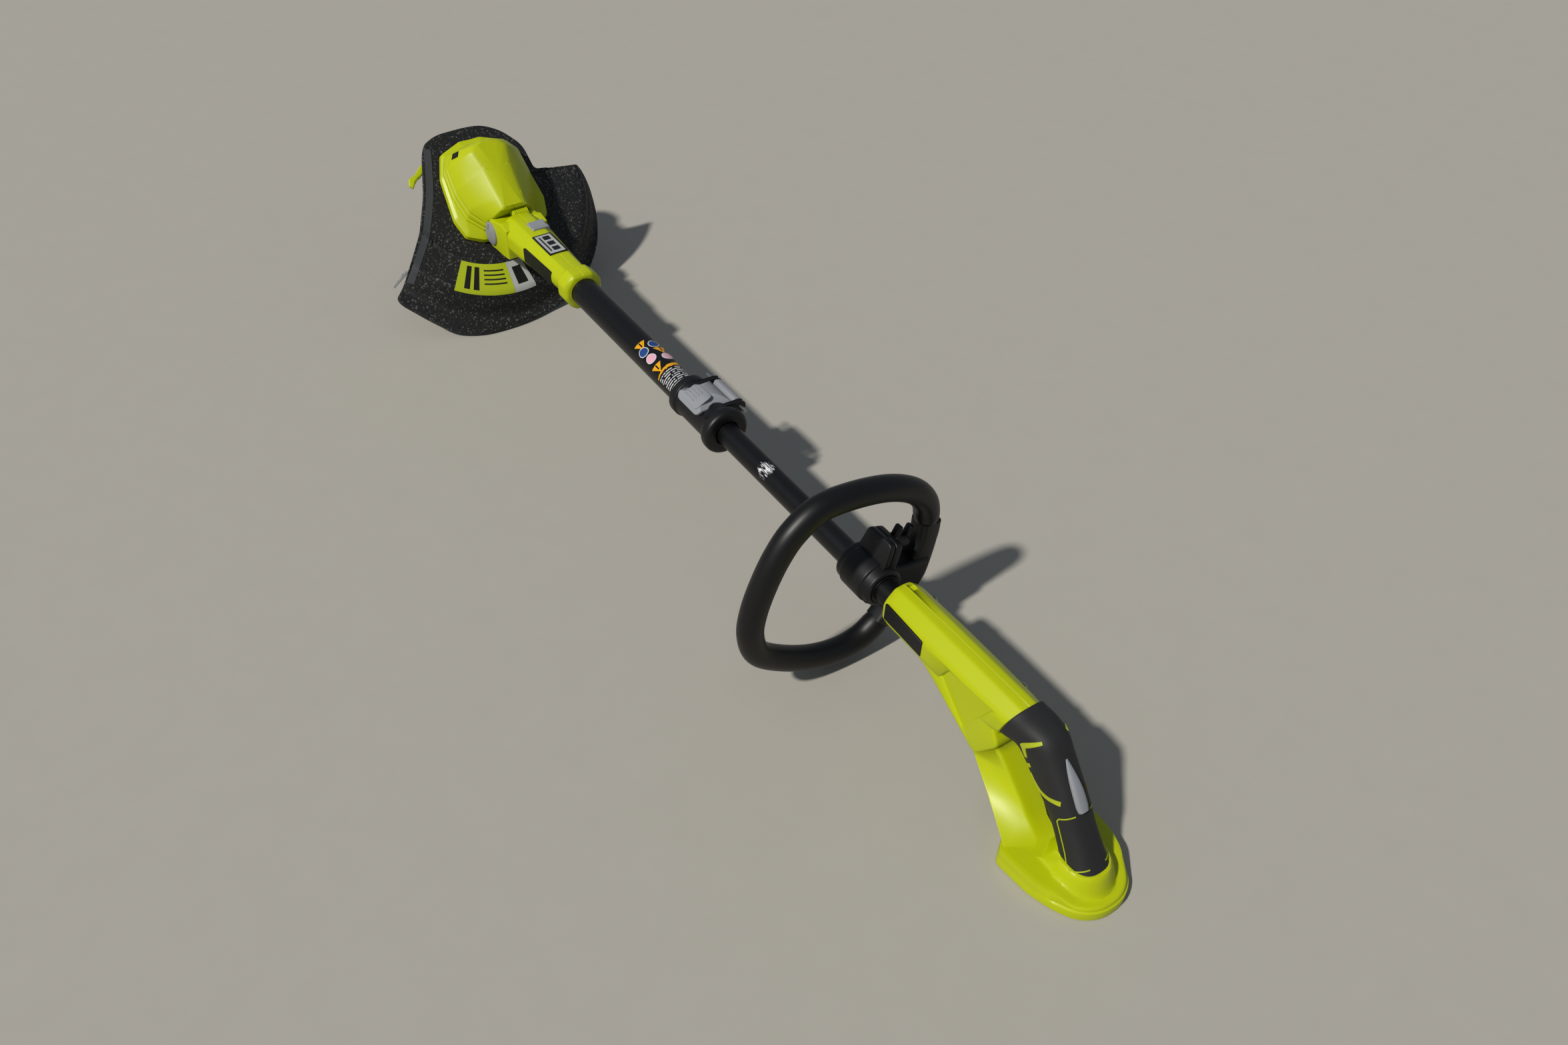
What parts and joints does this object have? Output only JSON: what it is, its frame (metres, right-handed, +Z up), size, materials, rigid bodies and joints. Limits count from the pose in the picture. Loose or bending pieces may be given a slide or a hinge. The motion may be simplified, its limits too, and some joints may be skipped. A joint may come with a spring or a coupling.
{
  "type": "string trimmer",
  "caption": "Battery string trimmer: lime rear grip with open battery foot, D-shaped loop handle, telescopic black shaft and a pivoting motor head with fan-shaped guard.",
  "frame": {"origin": "middle of the battery foot's underside, in the plane the foot stands on", "axes": "+X from the rear grip towards the cutting head, +Y to the user's left, +Z up; the trimmer stands on its foot and on the rear rim of the guard"},
  "size_m": [1.2347, 0.3107, 0.2229],
  "materials": {
    "lime_plastic": "satin moulded, fine grain",
    "grip_rubber": "soft-touch, fine texture",
    "loop_rubber": "smooth foam rubber",
    "black_plastic": "matt moulded",
    "grey_plastic": "satin moulded",
    "tube_paint": "satin black powder coat",
    "guard_plastic": "matt, dusty",
    "steel": "plain zinc-plated",
    "brass": "stamped",
    "aluminium": "plain",
    "line_nylon": "clear nylon",
    "label_film": "printed film, no lettering",
    "label_lime": "printed film, no lettering"
  },
  "bodies": {
    "rear_unit": {"rear_housing_left": "lime_plastic", "rear_housing_right": "lime_plastic", "grip_rubber_left": "grip_rubber", "grip_rubber_right": "grip_rubber", "trigger_pin": "steel", "lock_lever_pin": "steel", "trigger_switch": "black_plastic", "terminal_block": "black_plastic", "terminal_blades": "brass", "upper_tube": "tube_paint", "guide_bush": "black_plastic", "housing_badge": "label_film", "housing_screws": "steel"},
    "trigger_body": {"trigger": "black_plastic", "trigger_spring": "steel"},
    "lock_lever_body": {"lock_lever": "grey_plastic"},
    "loop_liner": {"clamp_liner": "loop_rubber"},
    "loop_handle": {"loop_bracket": "black_plastic", "loop_grip": "loop_rubber", "clamp_cap": "black_plastic", "clamp_bolt": "steel", "clamp_screw": "steel"},
    "wing_knob_body": {"wing_knob": "black_plastic"},
    "front_shaft": {"lower_tube": "tube_paint", "tube_label": "label_film", "coupler_body": "black_plastic", "coupler_pin": "steel", "socket_housing_left": "lime_plastic", "socket_housing_right": "lime_plastic", "pivot_axle": "steel", "pivot_cap_left": "grey_plastic", "pivot_cap_right": "grey_plastic", "socket_badge": "label_film", "socket_screws": "steel"},
    "coupler_lever_body": {"coupler_lever": "grey_plastic"},
    "lock_button_body": {"lock_button": "grey_plastic"},
    "cutting_head": {"motor_housing_left": "lime_plastic", "motor_housing_right": "lime_plastic", "motor_can": "steel", "guard": "guard_plastic", "guard_screws": "steel", "line_cutter": "steel", "cutter_screws": "steel", "guard_label": "label_lime"},
    "edge_guide_body": {"edge_guide": "lime_plastic"},
    "string_head": {"motor_shaft": "steel", "cooling_fan": "black_plastic", "head_base": "black_plastic", "head_cover": "black_plastic", "line_eyelets": "aluminium", "cutting_line": "line_nylon"},
    "spool_body": {"line_spool": "black_plastic"}
  },
  "joints": [
    {"name": "trigger_pull", "type": "hinge", "parent": "rear_unit", "child": "trigger_body", "pos_m": [0.02323, 0, 0.07829], "axis": [0, 1, 0], "range_deg": [0, 8], "stiffness_Nm_per_rad": 0.5, "springref_deg": -5.73},
    {"name": "lock_lever_press", "type": "hinge", "parent": "rear_unit", "child": "lock_lever_body", "pos_m": [0.0254, 0, 0.10651], "axis": [0, -1, 0], "range_deg": [0, 3.5], "stiffness_Nm_per_rad": 0.5, "springref_deg": -5.73},
    {"name": "loop_slide", "type": "slide", "parent": "rear_unit", "child": "loop_liner", "axis": [0.9999, 0, 0.0133], "range_m": [-0.018, 0.04]},
    {"name": "loop_turn", "type": "hinge", "parent": "loop_liner", "child": "loop_handle", "pos_m": [0.28797, 0, 0.10832], "axis": [0.9999, 0, 0.0133], "range_deg": [-22, 158]},
    {"name": "wing_knob_turn", "type": "hinge", "parent": "loop_handle", "child": "wing_knob_body", "pos_m": [0.28762, -0.0324, 0.13513], "axis": [-0.005, 0.9272, 0.3746], "continuous": true},
    {"name": "shaft_telescope", "type": "slide", "parent": "rear_unit", "child": "front_shaft", "axis": [0.9999, 0, 0.0133], "range_m": [-0.15, 0]},
    {"name": "coupler_lever_flip", "type": "hinge", "parent": "front_shaft", "child": "coupler_lever_body", "pos_m": [0.57578, -0.027, 0.12514], "axis": [0.9999, 0, 0.0133], "range_deg": [0, 100]},
    {"name": "pivot_lock_slide", "type": "slide", "parent": "front_shaft", "child": "lock_button_body", "axis": [0.9999, 0, 0.0133], "range_m": [-0.005, 0], "stiffness_N_per_m": 400, "springref_m": 0.002},
    {"name": "head_pivot", "type": "hinge", "parent": "front_shaft", "child": "cutting_head", "pos_m": [1.04307, 0, 0.10574], "axis": [0, 1, 0], "range_deg": [-10, 30]},
    {"name": "edge_guide_swing", "type": "hinge", "parent": "cutting_head", "child": "edge_guide_body", "pos_m": [1.15537, 0.06, 0.16015], "axis": [-0.6428, 0, 0.766], "range_deg": [-30, 20]},
    {"name": "string_head_spin", "type": "hinge", "parent": "cutting_head", "child": "string_head", "pos_m": [1.11064, 0, 0.13567], "axis": [-0.6428, 0, 0.766], "continuous": true},
    {"name": "spool_feed", "type": "hinge", "parent": "string_head", "child": "spool_body", "pos_m": [1.11064, 0, 0.13567], "axis": [-0.6428, 0, 0.766], "continuous": true}
  ]
}
